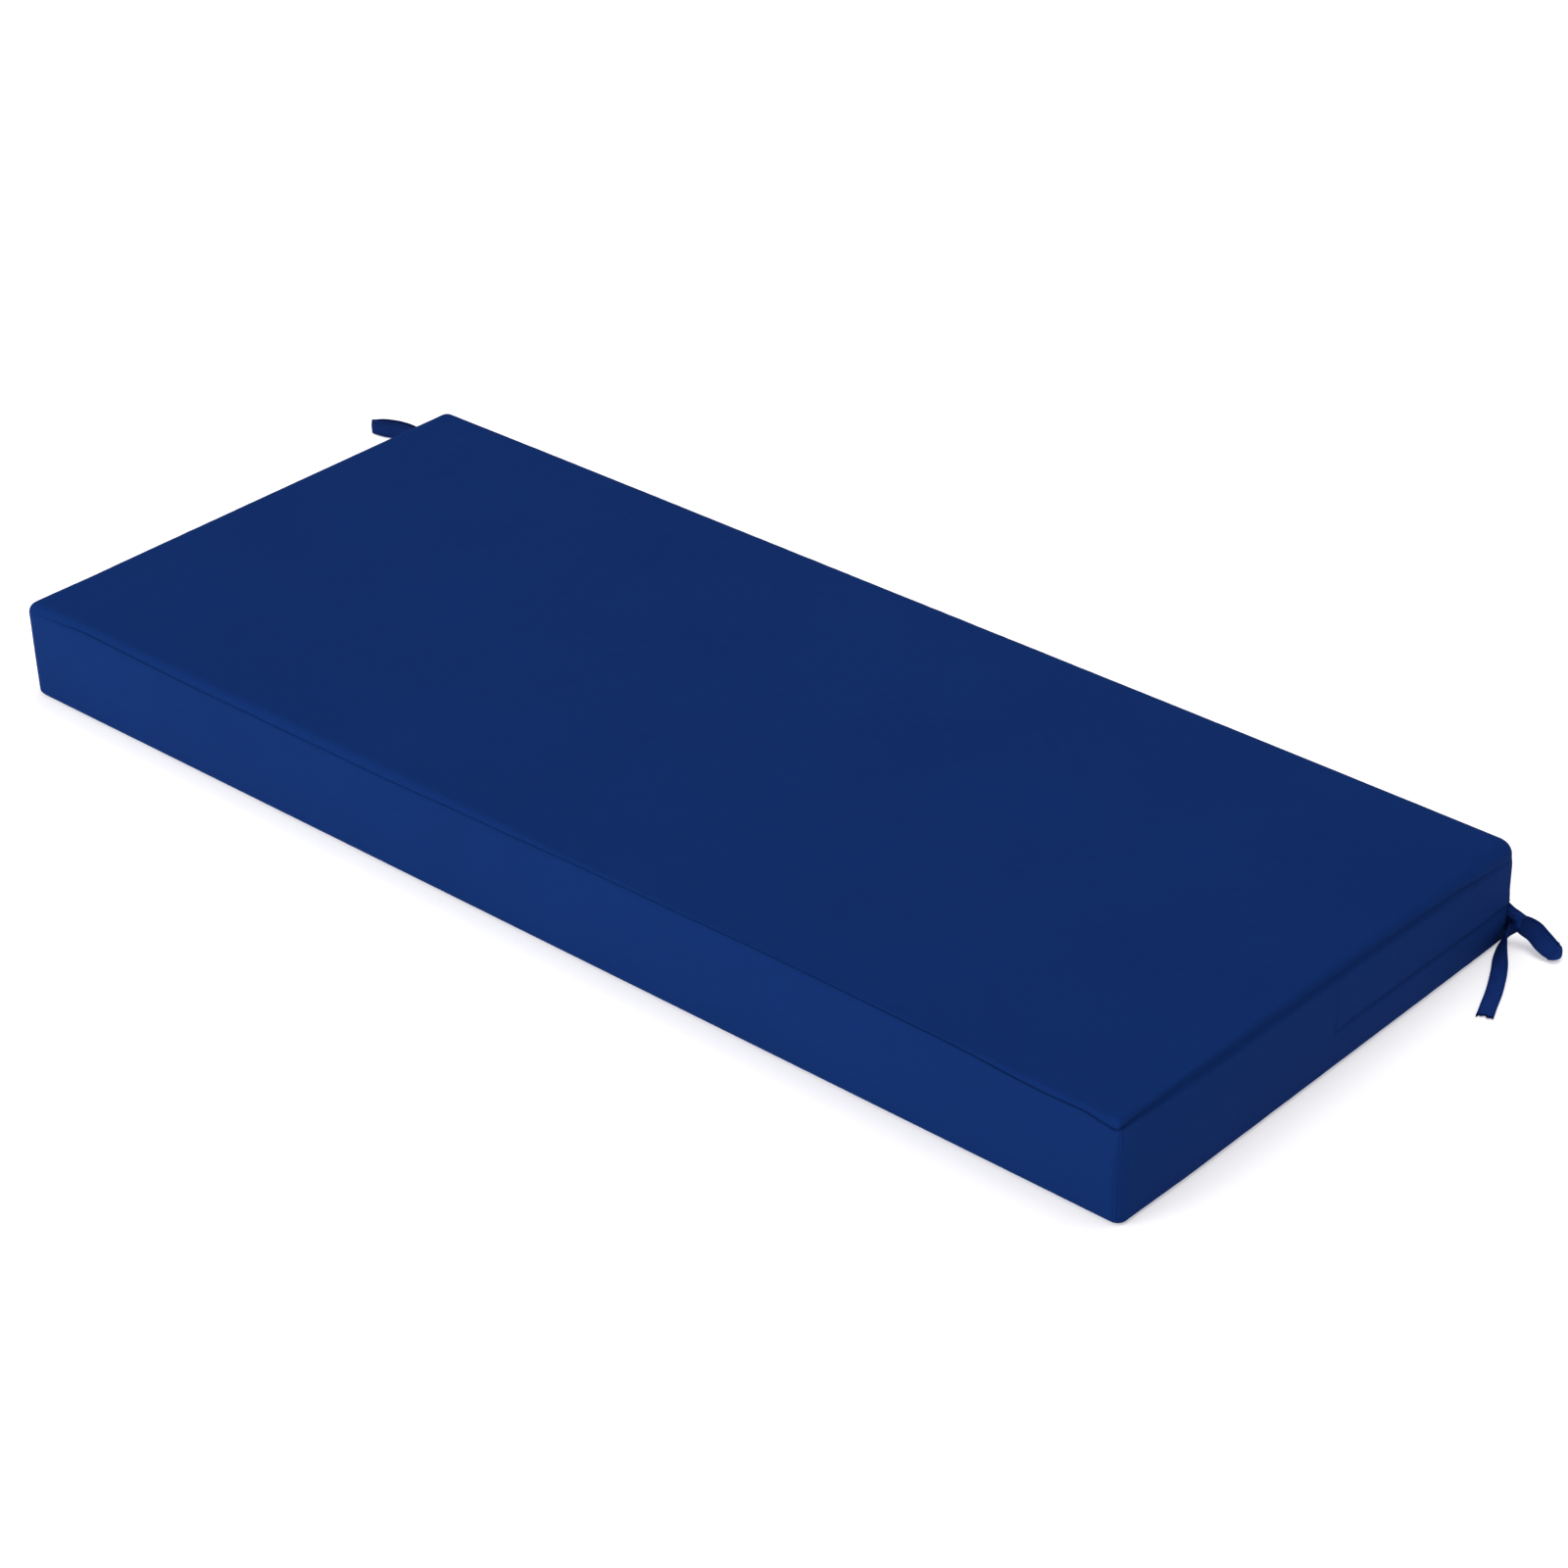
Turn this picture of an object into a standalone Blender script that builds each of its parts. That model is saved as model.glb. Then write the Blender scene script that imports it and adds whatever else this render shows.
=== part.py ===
"""Boxed-edge bench cushion with a tape tie at each back corner.

Metres, +Z up. X runs along the seat and Y from its front edge to its back edge. The origin is the middle of
the flat underside. A walk round the cushion counts its corners: 0 front left, 1 front right, 2 back right,
3 back left and 4 front left again, so 1.5 is half way along the right end.
"""

import math

import bmesh
import bpy
from mathutils import Vector

OBJECT_NAME = "bench_cushion"

# Finished sizes of the cushion
LENGTH = 1.0668
DEPTH = 0.4572
HEIGHT = 0.0810
CORNER_RADIUS = 0.009
BOTTOM_ROLL = 0.005
CROWN = 0.003
SIDE_BULGE = 0.0015
BULGE_FADE = 0.070

# Sewn channels: how deep each is drawn in, and half its width
SEAM_DEPTH = 0.0018
SEAM_HALF_WIDTH = 0.0016
SEAM_WANDER_REACH = 0.024
JOIN_DEPTH = 0.0009

# The rolled top edge: its radius, and how far up it the top seam lies (0 on the boxing, 90 on the panel)
TOP_EDGE = (
    # walk, radius, degrees
    (0.00, 0.0080, 30), (0.06, 0.0080, 36), (0.18, 0.0080, 20), (0.36, 0.0080, 21), (0.47, 0.0070, 32),
    (0.58, 0.0045, 45), (0.73, 0.0035, 62), (0.85, 0.0035, 48), (0.95, 0.0045, 35), (1.00, 0.0060, 28),
    (1.05, 0.0050, 52), (1.14, 0.0050, 52), (1.21, 0.0060, 37), (1.30, 0.0060, 41), (1.45, 0.0070, 30),
    (1.60, 0.0080, 26), (1.68, 0.0080, 18), (1.81, 0.0080, 10), (1.94, 0.0085, 3), (2.00, 0.0085, 4),
    (2.25, 0.0080, 25), (2.60, 0.0080, 42), (2.85, 0.0080, 24), (3.00, 0.0080, 16), (3.40, 0.0080, 34),
    (3.80, 0.0080, 27), (4.00, 0.0080, 30),
)
BOTTOM_SEAM_DEGREES = 38

# The closing flap runs round the back and over the back half of each end
FLAP_JOIN_Y = 0.005
FLAP_HEIGHT = 0.0320
FLAP_LINE = (
    # walk, height of the flap's edge above the floor
    (1.50, 0.0340), (1.56, 0.0332), (1.72, 0.0331), (1.88, 0.0308), (2.00, 0.0309), (2.25, 0.0322),
    (2.75, 0.0322), (3.00, 0.0309), (3.12, 0.0308), (3.28, 0.0331), (3.44, 0.0332), (3.50, 0.0340),
)
FLAP_REACH = 0.0145
FLAP_STEP = (
    # height above the flap's edge, how far the cloth stands out there
    (-0.0045, 0.0), (-0.0005, -0.0009), (0.0005, 0.0009), (0.0045, 0.0005), (0.0120, 0.0),
)

# Where the cage is cut: distances in from an edge, and the pitch of the lines between
EDGE_LINES = (0.0016, 0.0035, 0.0070, 0.0110, 0.0160, 0.0250)
TOP_LEVELS = (0.0016, 0.0035, 0.0070, 0.0110, 0.0170, 0.0250)
BOTTOM_LEVELS = (0.0014, 0.0030, 0.0055, 0.0090, 0.0160)
LENGTH_PITCH = 0.046
DEPTH_PITCH = 0.036

# Ties: a flat tape
TAPE_WIDTH = 0.012
TAPE_THICKNESS = 0.0018
TAPE_STEPS = 4

# Routes of the tape from the corner of the cushion. Out is past the end and back is past the back edge.
# Facing is the way its width points, in degrees from out towards back, and lean turns it from lying flat (0)
# to standing on its edge (90). Width is a share of the tape's own.
ROOT_ROUTE = (
    # out, back, height, facing, lean, width
    (-0.0012, -0.0035, 0.0262, 130, 0, 0.55),
    (0.0015, -0.0043, 0.0250, 108, 0, 0.55),
    (0.0046, -0.0047, 0.0238, 95, 0, 0.52),
    (0.0076, -0.0047, 0.0231, 88, 0, 0.50),
)
RIGHT_LOOP_ROUTE = (
    (0.0109, -0.0040, 0.0156, 90, 45, 0.90),
    (0.0146, -0.0022, 0.0140, 68, 40, 1.00),
    (0.0205, -0.0021, 0.0118, 68, 37, 1.05),
    (0.0280, -0.0046, 0.0091, 68, 37, 1.05),
    (0.0338, -0.0061, 0.0074, 68, 37, 1.00),
    (0.0370, -0.0062, 0.0063, 68, 37, 0.95),
    (0.0386, -0.0058, 0.0055, 68, 37, 0.90),
    (0.0391, -0.0048, 0.0047, 68, 37, 0.88),
    (0.0376, -0.0040, 0.0047, 68, 37, 0.90),
    (0.0352, -0.0034, 0.0056, 68, 37, 0.95),
    (0.0322, -0.0026, 0.0068, 68, 37, 1.00),
    (0.0262, -0.0008, 0.0096, 68, 37, 1.02),
    (0.0192, 0.0020, 0.0122, 68, 37, 1.00),
    (0.0138, 0.0016, 0.0143, 68, 40, 0.95),
    (0.0109, -0.0010, 0.0150, 90, 45, 0.75),
)
RIGHT_TAIL_ROUTE = (
    (0.0052, -0.0068, 0.0118, -8, 90, 0.34),
    (0.0042, -0.0082, 0.0112, -5, 88, 0.40),
    (0.0037, -0.0108, 0.0097, -2, 82, 0.60),
    (0.0037, -0.0157, 0.0069, 3, 66, 0.92),
    (0.0103, -0.0292, 0.0050, 27, 43, 0.97),
    (0.0175, -0.0408, 0.0033, 29, 23, 1.00),
    (0.0243, -0.0537, 0.0019, 26, 8, 1.00),
    (0.0317, -0.0700, 0.0011, 22, 0, 1.00),
    (0.0378, -0.0857, 0.0010, 21, 0, 1.00),
    (0.0431, -0.0990, 0.0010, 21, 0, 1.02),
)
LEFT_LOOP_ROUTE = (
    (0.0112, -0.0038, 0.0146, 120, 88, 0.62),
    (0.0250, 0.0040, 0.0112, 118, 84, 0.90),
    (0.0480, 0.0165, 0.0074, 117, 76, 1.00),
    (0.0750, 0.0300, 0.0062, 114, 68, 1.00),
    (0.0960, 0.0385, 0.0061, 106, 62, 1.02),
    (0.1130, 0.0428, 0.0061, 96, 58, 1.03),
    (0.1230, 0.0414, 0.0061, 90, 64, 1.02),
    (0.1320, 0.0394, 0.0062, 88, 76, 1.00),
    (0.1368, 0.0389, 0.0062, 88, 86, 1.00),
    (0.1385, 0.0403, 0.0062, 88, 90, 1.00),
    (0.1360, 0.0430, 0.0062, 88, 90, 1.00),
    (0.1310, 0.0473, 0.0062, 90, 90, 1.00),
    (0.1250, 0.0508, 0.0062, 90, 90, 1.00),
    (0.1160, 0.0540, 0.0062, 90, 90, 1.00),
    (0.1045, 0.0553, 0.0062, 90, 90, 1.00),
    (0.0930, 0.0525, 0.0062, 90, 90, 1.00),
    (0.0730, 0.0415, 0.0066, 90, 90, 1.00),
    (0.0480, 0.0255, 0.0082, 90, 90, 1.00),
    (0.0250, 0.0095, 0.0120, 90, 90, 0.88),
    (0.0112, 0.0000, 0.0142, 90, 90, 0.62),
)
LEFT_TAIL_ROUTE = (
    (0.0052, -0.0068, 0.0118, -8, 90, 0.34),
    (0.0042, -0.0082, 0.0112, -5, 88, 0.40),
    (0.0037, -0.0108, 0.0097, -2, 82, 0.60),
    (0.0037, -0.0157, 0.0069, 3, 66, 0.92),
    (0.0110, -0.0275, 0.0048, 34, 40, 0.97),
    (0.0205, -0.0375, 0.0026, 42, 12, 1.00),
    (0.0300, -0.0475, 0.0013, 44, 1, 1.00),
    (0.0400, -0.0590, 0.0010, 40, 0, 1.00),
)

# The wrap of each knot, round the loop and the tail
KNOT_CENTRE = (0.0071, -0.0022, 0.0155)
KNOT_SIZE = (0.0064, 0.0066, 0.0124)
KNOT_ROUNDING = 0.0024
KNOT_RIM = 0.0014
KNOT_HOLLOW = 0.0008

NAVY_CLOTH = (0.0080, 0.0325, 0.1490, 1.0)
NAVY_TAPE = (0.0065, 0.0265, 0.1300, 1.0)

ON_FACE = 1e-6


def between(rows, position, column=1):
    """A column's value at a position in a table that its first column orders, eased from row to row."""
    if position <= rows[0][0]:
        return rows[0][column]
    for before, after in zip(rows, rows[1:]):
        if position <= after[0]:
            share = (position - before[0]) / (after[0] - before[0])
            return before[column] + (after[column] - before[column]) * share * share * (3 - 2 * share)
    return rows[-1][column]


def fade(distance, reach):
    """1 at no distance, easing to 0 at the reach."""
    if distance >= reach:
        return 0.0
    return 0.5 + 0.5 * math.cos(math.pi * distance / reach)


def groove(distance):
    """How much of its depth a sewn channel has at a distance from its middle."""
    return max(0.0, 1.0 - abs(distance) / SEAM_HALF_WIDTH)


def walk_position(x, y, inward):
    """Where on the walk round the cushion a point lies whose ring is this far inward."""
    half_x = max(LENGTH / 2 - inward, ON_FACE)
    half_y = max(DEPTH / 2 - inward, ON_FACE)
    along = (x / half_x + 1) / 2
    across = (y / half_y + 1) / 2
    if DEPTH / 2 - abs(y) <= LENGTH / 2 - abs(x):
        return along if y < 0 else 3 - along
    return 1 + across if x > 0 else 4 - across


def rolled_edge(distance, radius):
    """Inset, drop and slope at a distance round a rolled edge, below it, on it or past it."""
    if distance <= -radius:
        return 0.0, -distance, 0.0
    if distance >= radius:
        return distance, 0.0, math.pi / 2
    slope = (distance + radius) / (2 * radius) * math.pi / 2
    return radius * (1 - math.cos(slope)), radius * (1 - math.sin(slope)), slope


def seam_shift(degrees, radius):
    """How far round its rolled edge a seam lies from the edge's middle."""
    return radius * (degrees / 45 - 1)


def on_ring(x, y, half_x, half_y, radius):
    """A point of a rounded rectangle and its outward direction, from a point of the sharp one."""
    over_x = abs(x) - (half_x - radius)
    over_y = abs(y) - (half_y - radius)
    side_x = math.copysign(1, x)
    side_y = math.copysign(1, y)
    if radius > 0 and over_x > 0 and over_y > 0:
        if over_x >= over_y:
            turn = math.pi / 4 * over_y / over_x
        else:
            turn = math.pi / 2 - math.pi / 4 * over_x / over_y
        out = Vector((side_x * math.cos(turn), side_y * math.sin(turn), 0))
        middle = Vector((side_x * (half_x - radius), side_y * (half_y - radius), 0))
        return middle + out * radius, out
    if half_x - abs(x) <= half_y - abs(y):
        return Vector((x, y, 0)), Vector((side_x, 0, 0))
    return Vector((x, y, 0)), Vector((0, side_y, 0))


def flap_share(walk):
    """1 where the closing flap covers the boxing, 0 elsewhere, with a ramp at each join."""
    join_walk = 1.5 + FLAP_JOIN_Y / DEPTH
    ramp = SEAM_HALF_WIDTH / DEPTH
    past_join = min(walk - join_walk, (5 - join_walk) - walk)
    return min(1.0, max(0.0, past_join / ramp + 0.5))


def boxing_relief(walk, height, x, y):
    """How far the boxing stands out at a height: its bulge, the flap's step and the join seams."""
    corner_x = fade(LENGTH / 2 - abs(x), BULGE_FADE)
    corner_y = fade(DEPTH / 2 - abs(y), BULGE_FADE)
    bulge = SIDE_BULGE * math.sin(math.pi * height / HEIGHT) * (1 - corner_x * corner_y)
    above_flap = height - between(FLAP_LINE, walk)
    step = between(FLAP_STEP, above_flap) * flap_share(walk)
    join = 0.0
    if above_flap > 0 and abs(x) >= LENGTH / 2 - CORNER_RADIUS:
        join = JOIN_DEPTH * groove(y - FLAP_JOIN_Y)
    return bulge + step - join


def cushion_point(cage):
    """The finished place of a point of the plain box that the cushion is cut from."""
    x, y, z = cage
    inward = min(LENGTH / 2 - abs(x), DEPTH / 2 - abs(y))
    walk = walk_position(x, y, inward)
    upper = z > HEIGHT / 2
    radius = between(TOP_EDGE, walk, 1) if upper else BOTTOM_ROLL
    degrees = between(TOP_EDGE, walk, 2) if upper else BOTTOM_SEAM_DEGREES
    from_edge = inward if inward > ON_FACE else -min(z, HEIGHT - z)
    shift = seam_shift(degrees, radius) * fade(abs(from_edge), SEAM_WANDER_REACH)
    inset, drop, slope = rolled_edge(from_edge + shift, radius)

    half_x = LENGTH / 2 - inset
    half_y = DEPTH / 2 - inset
    ring_x = x * half_x / max(LENGTH / 2 - inward, ON_FACE)
    ring_y = y * half_y / max(DEPTH / 2 - inward, ON_FACE)
    place, outward = on_ring(ring_x, ring_y, half_x, half_y, max(CORNER_RADIUS - inset, 0))
    height = HEIGHT - drop if upper else drop

    if inward <= ON_FACE:
        line_shift = between(FLAP_LINE, walk) - FLAP_HEIGHT
        height += line_shift * flap_share(walk) * fade(abs(height - FLAP_HEIGHT), FLAP_REACH)
        place += outward * boxing_relief(walk, height, x, y)
    if upper:
        across = (1 - (2 * x / LENGTH) ** 4) * (1 - (2 * y / DEPTH) ** 4)
        height += CROWN * max(across, 0)
    up = Vector((0, 0, 1 if upper else -1))
    normal = outward * math.cos(slope) + up * math.sin(slope)
    seam = SEAM_DEPTH * groove(from_edge)
    return place + Vector((0, 0, height)) - normal * seam


def cage_lines(half, pitch, extra=()):
    """Where the cage is cut across one side: close together by its ends and evenly spaced between."""
    near_edges = [side * (half - inward) for inward in EDGE_LINES for side in (-1, 1)]
    span = half - EDGE_LINES[-1]
    count = max(1, round(2 * span / pitch))
    inner = [-span + 2 * span * index / count for index in range(1, count)]
    spread = [line for line in inner if all(abs(line - other) > pitch / 3 for other in extra)]
    return near_edges + spread + list(extra)


def cage_levels():
    """The heights at which the cage is cut: by the top seam, by the bottom seam and along the flap's edge."""
    top = [HEIGHT - level for level in TOP_LEVELS]
    flap = [FLAP_HEIGHT + above for above, _ in FLAP_STEP]
    return top + list(BOTTOM_LEVELS) + flap


def cut_across(mesh, axis, positions):
    """Cut the whole mesh by planes square to one axis."""
    normal = Vector((axis == 0, axis == 1, axis == 2))
    for position in positions:
        everything = mesh.verts[:] + mesh.edges[:] + mesh.faces[:]
        bmesh.ops.bisect_plane(mesh, geom=everything, plane_co=normal * position, plane_no=normal)


def make_object(name, mesh, material, collection):
    """Turn a bmesh into an object of the collection, shaded smooth between its creases."""
    data = bpy.data.meshes.new(name)
    mesh.to_mesh(data)
    mesh.free()
    data.shade_smooth()
    data.set_sharp_from_angle(angle=math.radians(50))
    data.materials.append(material)
    piece = bpy.data.objects.new(name, data)
    collection.objects.link(piece)
    return piece


def make_material(name, colour, roughness):
    """A plain cloth colour."""
    material = bpy.data.materials.new(name)
    material.use_nodes = True
    shader = material.node_tree.nodes["Principled BSDF"]
    shader.inputs["Base Color"].default_value = colour
    shader.inputs["Roughness"].default_value = roughness
    shader.inputs["Metallic"].default_value = 0.0
    return material


def make_cushion(material, collection):
    """The filled cover: a plain box cut into a cage, then every point moved to its finished place."""
    mesh = bmesh.new()
    bmesh.ops.create_cube(mesh, size=1)
    bmesh.ops.scale(mesh, vec=(LENGTH, DEPTH, HEIGHT), verts=mesh.verts)
    bmesh.ops.translate(mesh, vec=(0, 0, HEIGHT / 2), verts=mesh.verts)
    join_lines = [FLAP_JOIN_Y + side * SEAM_HALF_WIDTH for side in (-1, 0, 1)]
    cut_across(mesh, 0, cage_lines(LENGTH / 2, LENGTH_PITCH))
    cut_across(mesh, 1, cage_lines(DEPTH / 2, DEPTH_PITCH, join_lines))
    cut_across(mesh, 2, cage_levels())
    for vertex in mesh.verts:
        vertex.co = cushion_point(vertex.co)
    flat = [face for face in mesh.faces if all(abs(vertex.co.z) < ON_FACE for vertex in face.verts)]
    bmesh.ops.dissolve_faces(mesh, faces=flat, use_verts=False)
    return make_object("cushion_body", mesh, material, collection)


def smooth_route(route, steps):
    """Rows along a smooth curve through a route's rows, every column eased alike."""
    rows = []
    for index in range(len(route) - 1):
        before = route[max(index - 1, 0)]
        start, end = route[index], route[index + 1]
        after = route[min(index + 2, len(route) - 1)]
        for step in range(steps):
            share = step / steps
            rows.append([curve_value(a, b, c, d, share) for a, b, c, d in zip(before, start, end, after)])
    rows.append(list(route[-1]))
    return rows


def curve_value(before, start, end, after, share):
    """A value on the smooth curve between start and end."""
    leaving = (end - before) / 2
    arriving = (after - start) / 2
    rise = end - start
    bend = 3 * rise - 2 * leaving - arriving
    ease = leaving + arriving - 2 * rise
    return start + share * (leaving + share * (bend + share * ease))


def tape_places(route, side):
    """Middle, width direction and width of the tape at each step, at the right (1) or left (-1) corner."""
    places = []
    for out, back, height, facing, lean, width in smooth_route(route, TAPE_STEPS):
        middle = Vector((side * (LENGTH / 2 + out), DEPTH / 2 + back, height))
        turn, tilt = math.radians(facing), math.radians(lean)
        level = math.cos(tilt)
        width_way = Vector((side * level * math.cos(turn), level * math.sin(turn), math.sin(tilt)))
        places.append((middle, width_way, TAPE_WIDTH * width))
    return places


def make_tape(name, route, side, material, collection):
    """A flat tape bent along its route, then given its thickness."""
    places = tape_places(route, side)
    mesh = bmesh.new()
    bmesh.ops.create_grid(mesh, x_segments=2, y_segments=len(places) - 1, size=0.5)
    for vertex in mesh.verts:
        middle, width_way, width = places[round((vertex.co.y + 0.5) * (len(places) - 1))]
        vertex.co = middle + width_way * width * vertex.co.x
    piece = make_object(name, mesh, material, collection)
    thickness = piece.modifiers.new("thickness", "SOLIDIFY")
    thickness.thickness = TAPE_THICKNESS
    thickness.offset = 0
    return piece


def make_knot(name, side, material, collection):
    """The tape's wrap round its own loop and tail: a short rounded sleeve with dished ends."""
    mesh = bmesh.new()
    bmesh.ops.create_cube(mesh, size=1)
    bmesh.ops.scale(mesh, vec=KNOT_SIZE, verts=mesh.verts)
    lengthwise = [edge for edge in mesh.edges if abs(edge.verts[0].co.x - edge.verts[1].co.x) > ON_FACE]
    bmesh.ops.bevel(mesh, geom=lengthwise, offset=KNOT_ROUNDING, offset_type="OFFSET", segments=4,
                    profile=0.5, affect="EDGES", material=-1)
    ends = [face for face in mesh.faces if abs(face.normal.x) > 0.9]
    bmesh.ops.inset_individual(mesh, faces=ends, thickness=KNOT_RIM, depth=-KNOT_HOLLOW)
    out, back, height = KNOT_CENTRE
    centre = Vector((side * (LENGTH / 2 + out), DEPTH / 2 + back, height))
    bmesh.ops.translate(mesh, vec=centre, verts=mesh.verts)
    return make_object(name, mesh, material, collection)


def make_tie(side, side_name, loop_route, tail_route, collection):
    """One tie: its sewn root, the wrap of its knot, its loop and its free tail."""
    names = {part: f"tie_{side_name}_{part}" for part in ("root", "knot", "loop", "tail")}
    tape = {part: make_material(f"navy_tape_{side_name}_{part}", NAVY_TAPE, 0.78) for part in names}
    make_tape(names["root"], ROOT_ROUTE, side, tape["root"], collection)
    make_knot(names["knot"], side, tape["knot"], collection)
    make_tape(names["loop"], loop_route, side, tape["loop"], collection)
    make_tape(names["tail"], tail_route, side, tape["tail"], collection)


def main():
    for old in list(bpy.data.objects):
        bpy.data.objects.remove(old)
    collection = bpy.data.collections.new(OBJECT_NAME)
    bpy.context.scene.collection.children.link(collection)
    make_cushion(make_material("navy_cover_cloth", NAVY_CLOTH, 0.72), collection)
    make_tie(1, "right", RIGHT_LOOP_ROUTE, RIGHT_TAIL_ROUTE, collection)
    make_tie(-1, "left", LEFT_LOOP_ROUTE, LEFT_TAIL_ROUTE, collection)


main()
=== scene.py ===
"""Boxed-edge bench cushion: its sewn cloth cover, the tape tie at each back corner and the studio it lies in.

Metres, +Z up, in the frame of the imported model. X runs along the seat and Y from its front edge to its back
edge. A walk round the cover counts its corners: 0 front left, 1 front right, 2 back right, 3 back left and
4 front left again, so 1.5 is half way along the right end.
"""

import math

import bmesh
import bpy
from bpy.props import FloatProperty, FloatVectorProperty, IntProperty, PointerProperty
from mathutils import Matrix, Vector, noise


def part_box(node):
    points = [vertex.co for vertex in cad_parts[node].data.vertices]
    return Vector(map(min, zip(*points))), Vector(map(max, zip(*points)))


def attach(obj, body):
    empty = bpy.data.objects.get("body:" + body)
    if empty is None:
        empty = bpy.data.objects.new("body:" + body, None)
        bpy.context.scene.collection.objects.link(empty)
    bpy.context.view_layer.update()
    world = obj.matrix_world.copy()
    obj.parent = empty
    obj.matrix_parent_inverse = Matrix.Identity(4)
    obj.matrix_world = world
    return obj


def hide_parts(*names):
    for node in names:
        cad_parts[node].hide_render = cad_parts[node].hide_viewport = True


bl_info = {
    "name": "Bench Cushion",
    "version": (1, 0, 0),
    "blender": (4, 5, 0),
    "location": "3D View > Sidebar > Cushion",
    "description": "Builds a boxed-edge bench cushion with a tape tie at each back corner",
    "category": "Object",
}

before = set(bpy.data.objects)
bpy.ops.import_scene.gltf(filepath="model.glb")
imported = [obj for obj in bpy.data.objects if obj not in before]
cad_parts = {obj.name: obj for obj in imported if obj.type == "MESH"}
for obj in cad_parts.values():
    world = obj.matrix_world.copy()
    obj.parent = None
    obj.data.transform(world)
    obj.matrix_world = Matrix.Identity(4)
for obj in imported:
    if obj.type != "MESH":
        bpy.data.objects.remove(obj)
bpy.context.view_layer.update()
BODY_LOW, BODY_HIGH = (Vector(corner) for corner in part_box("cushion_body"))

# How far the boxing stands out past the sewn size, and the crown of the panel above its own edge
STAND_OUT = 0.0024
CROWN = 0.0030

# The rolled top edge and its seam, where 0 degrees is on the boxing and 90 on the panel
TOP_EDGE = (
    # walk, radius of the roll, degrees up it, half the seam's width, its depth, its painted shade
    (0.00, 0.0094, 16, 0.0016, 0.0001, 0.02),
    (0.03, 0.0090, 25, 0.0013, 0.0005, 0.10),
    (0.06, 0.0086, 33, 0.0012, 0.0008, 0.26),
    (0.18, 0.0080, 20, 0.0011, 0.0007, 0.24),
    (0.36, 0.0080, 21, 0.0011, 0.0007, 0.20),
    (0.47, 0.0070, 32, 0.0011, 0.0007, 0.20),
    (0.58, 0.0045, 45, 0.0011, 0.0007, 0.22),
    (0.73, 0.0035, 62, 0.0012, 0.0008, 0.28),
    (0.85, 0.0035, 48, 0.0012, 0.0009, 0.38),
    (0.94, 0.0045, 10, 0.0013, 0.0010, 0.44),
    (0.970, 0.0050, 22, 0.0014, 0.0010, 0.46),
    (0.988, 0.0055, 2, 0.0015, 0.0011, 0.48),
    (0.9935, 0.0055, -6, 0.0016, 0.0012, 0.50),
    (0.9972, 0.0055, 2, 0.0018, 0.0012, 0.50),
    (1.001, 0.0052, 14, 0.0022, 0.0013, 0.50),
    (1.007, 0.0052, 22, 0.0028, 0.0014, 0.50),
    (1.03, 0.0052, 25, 0.0040, 0.0015, 0.42),
    (1.06, 0.0052, 26, 0.0050, 0.0015, 0.38),
    (1.10, 0.0052, 36, 0.0056, 0.0015, 0.36),
    (1.14, 0.0055, 48, 0.0060, 0.0015, 0.34),
    (1.21, 0.0065, 37, 0.0064, 0.0015, 0.32),
    (1.30, 0.0070, 38, 0.0066, 0.0014, 0.30),
    (1.45, 0.0078, 30, 0.0068, 0.0014, 0.30),
    (1.60, 0.0084, 25, 0.0068, 0.0014, 0.32),
    (1.68, 0.0086, 18, 0.0068, 0.0014, 0.32),
    (1.81, 0.0088, 8, 0.0064, 0.0012, 0.30),
    (1.93, 0.0094, -8, 0.0056, 0.0007, 0.18),
    (2.00, 0.0100, -14, 0.0046, 0.0002, 0.08),
    (2.08, 0.0094, 2, 0.0036, 0.0010, 0.30),
    (2.25, 0.0084, 25, 0.0022, 0.0012, 0.45),
    (2.60, 0.0080, 42, 0.0018, 0.0013, 0.55),
    (2.85, 0.0080, 24, 0.0020, 0.0013, 0.50),
    (3.00, 0.0085, 10, 0.0026, 0.0009, 0.30),
    (3.40, 0.0080, 34, 0.0036, 0.0013, 0.34),
    (3.80, 0.0080, 27, 0.0026, 0.0012, 0.36),
    (3.92, 0.0088, 24, 0.0020, 0.0008, 0.20),
    (4.00, 0.0094, 16, 0.0016, 0.0001, 0.02),
)
BOTTOM_EDGE = (
    # the same columns, alike all the way round
    (0.00, 0.0050, 38, 0.0016, 0.0010, 0.40),
    (4.00, 0.0050, 38, 0.0016, 0.0010, 0.40),
)
MIDDLE_DEGREES = 45
SEAM_WANDER_REACH = 0.024
# Share of paler colour painted on the panel's rolled edge, as wear and a painted highlight
EDGE_WEAR_AND_HIGHLIGHT = 0.2

# The closing flap runs round the back and over the back half of each end. The box is cut at the flap's
# height, and the cloth within reach of that is moved to the flap's line. The walks of like places on the
# two ends add up to the same sum.
FLAP_JOIN_Y = 0.005
RIGHT_END_MIDDLE = 1.5
ENDS_SUM = 5
FLAP_HEIGHT = 0.0320
FLAP_LINE = (
    # walk, height of the flap's edge above the floor
    (1.50, 0.0345), (1.56, 0.0340), (1.72, 0.0341), (1.83, 0.0333), (1.92, 0.0317), (2.00, 0.0310),
    (2.25, 0.0322), (2.75, 0.0322), (3.00, 0.0310), (3.08, 0.0317), (3.17, 0.0333), (3.50, 0.0345),
)
FLAP_REACH = 0.0145
FLAP_STEP = (
    # height above the flap's edge, how far the cloth stands out there
    (-0.0045, 0.0), (-0.0009, -0.0006), (-0.0001, -0.0013), (0.0006, 0.0007), (0.0045, 0.0004), (0.0120, 0.0),
)
# Painted shade darkens the flap's edge and its join
FLAP_SHADE = 1.0
FLAP_SHADE_WIDTH = 0.0019
FLAP_SHADE_RAMP = 0.050
JOIN_DEPTH = 0.0003
JOIN_SHADE = 0.12
JOIN_HALF_WIDTH = 0.0022

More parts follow.
